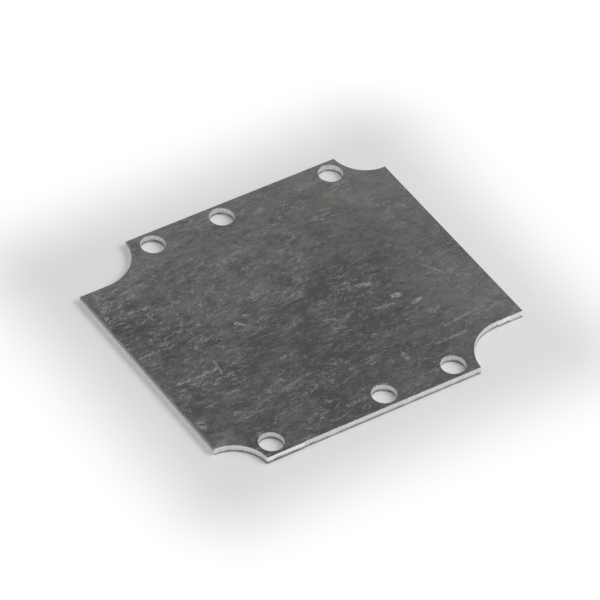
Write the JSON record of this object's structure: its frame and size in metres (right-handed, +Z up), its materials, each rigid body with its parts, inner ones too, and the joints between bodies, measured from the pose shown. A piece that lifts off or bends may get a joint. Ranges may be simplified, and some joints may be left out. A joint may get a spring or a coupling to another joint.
{
  "type": "rectangular cover plate",
  "caption": "Flat steel plate with scooped corner notches and a row of screw holes along each long edge, for closing or lining a small enclosure.",
  "frame": {"origin": "centre of the plate's outline, on its underside", "axes": "+X along the long edges, +Y towards the back long edge, +Z up through the thickness, from the rolled-over underside to the sharp-edged top face"},
  "size_m": [0.065, 0.0574, 0.0015],
  "materials": {
    "galvanised_steel": "dull mottled zinc coat on both faces, bare sheared metal on the edges and in the holes"
  },
  "bodies": {
    "root": {"cover_plate": "galvanised_steel"}
  },
  "joints": []
}
